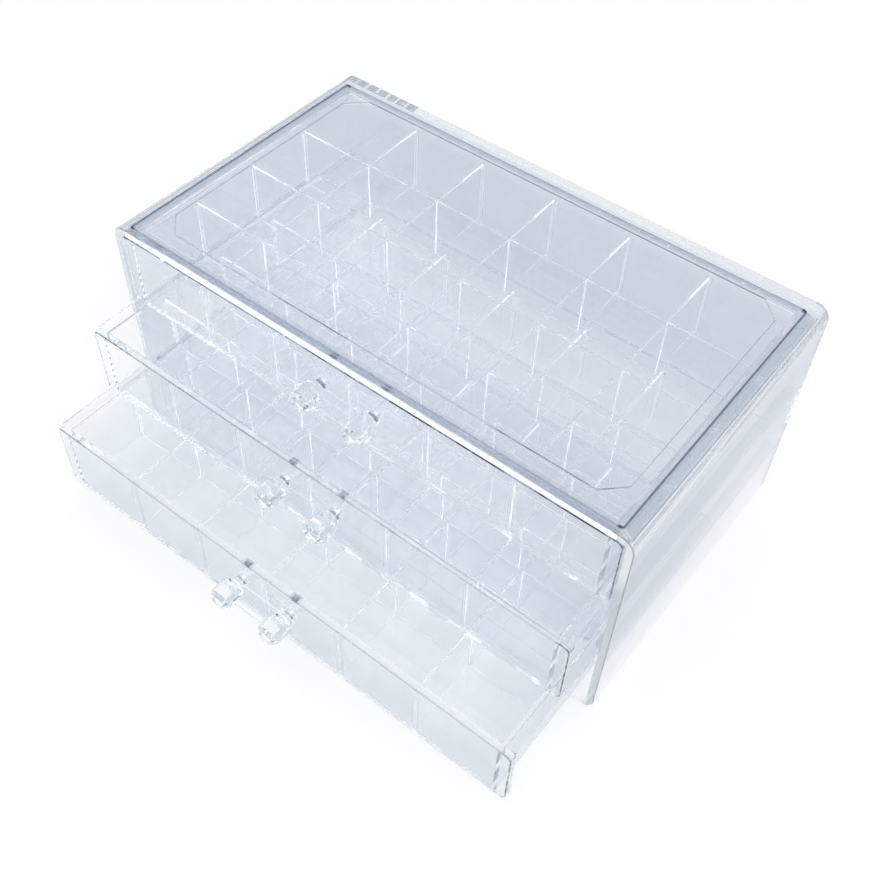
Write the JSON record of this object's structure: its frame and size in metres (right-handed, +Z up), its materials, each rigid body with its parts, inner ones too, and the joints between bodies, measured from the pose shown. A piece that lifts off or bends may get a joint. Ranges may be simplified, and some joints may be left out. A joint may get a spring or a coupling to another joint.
{
  "type": "nail polish organizer drawers",
  "caption": "Clear box with rounded long edges and sliding drawers, each split into small square compartments and pulled by a pair of faceted knobs on a web.",
  "frame": {"origin": "middle of the casing's underside, which rests on the table", "axes": "+X to the right along the front, +Y from the front to the back, +Z up"},
  "size_m": [0.235, 0.1976, 0.108],
  "materials": {
    "clear_casing": "clear, polished",
    "clear_plate": "clear, polished",
    "clear_tray": "clear, polished",
    "clear_divider": "clear, polished",
    "clear_handle": "clear, faceted, polished"
  },
  "bodies": {
    "casing": {"casing": "clear_casing", "top_plate": "clear_plate"},
    "drawer_1": {"drawer_1_tray": "clear_tray", "drawer_1_handle": "clear_handle", "drawer_1_long_divider_1": "clear_divider", "drawer_1_long_divider_2": "clear_divider", "drawer_1_long_divider_3": "clear_divider", "drawer_1_cross_divider_1": "clear_divider", "drawer_1_cross_divider_2": "clear_divider", "drawer_1_cross_divider_3": "clear_divider", "drawer_1_cross_divider_4": "clear_divider", "drawer_1_cross_divider_5": "clear_divider"},
    "drawer_2": {"drawer_2_tray": "clear_tray", "drawer_2_handle": "clear_handle", "drawer_2_long_divider_1": "clear_divider", "drawer_2_long_divider_2": "clear_divider", "drawer_2_long_divider_3": "clear_divider", "drawer_2_cross_divider_1": "clear_divider", "drawer_2_cross_divider_2": "clear_divider", "drawer_2_cross_divider_3": "clear_divider", "drawer_2_cross_divider_4": "clear_divider", "drawer_2_cross_divider_5": "clear_divider"},
    "drawer_3": {"drawer_3_tray": "clear_tray", "drawer_3_handle": "clear_handle", "drawer_3_long_divider_1": "clear_divider", "drawer_3_long_divider_2": "clear_divider", "drawer_3_long_divider_3": "clear_divider", "drawer_3_cross_divider_1": "clear_divider", "drawer_3_cross_divider_2": "clear_divider", "drawer_3_cross_divider_3": "clear_divider", "drawer_3_cross_divider_4": "clear_divider", "drawer_3_cross_divider_5": "clear_divider"}
  },
  "joints": [
    {"name": "drawer_1_slide", "type": "slide", "parent": "casing", "child": "drawer_1", "axis": [0, -1, 0], "range_m": [0, 0.095]},
    {"name": "drawer_2_slide", "type": "slide", "parent": "casing", "child": "drawer_2", "axis": [0, -1, 0], "range_m": [-0.0225, 0.0725]},
    {"name": "drawer_3_slide", "type": "slide", "parent": "casing", "child": "drawer_3", "axis": [0, -1, 0], "range_m": [-0.05, 0.045]}
  ]
}
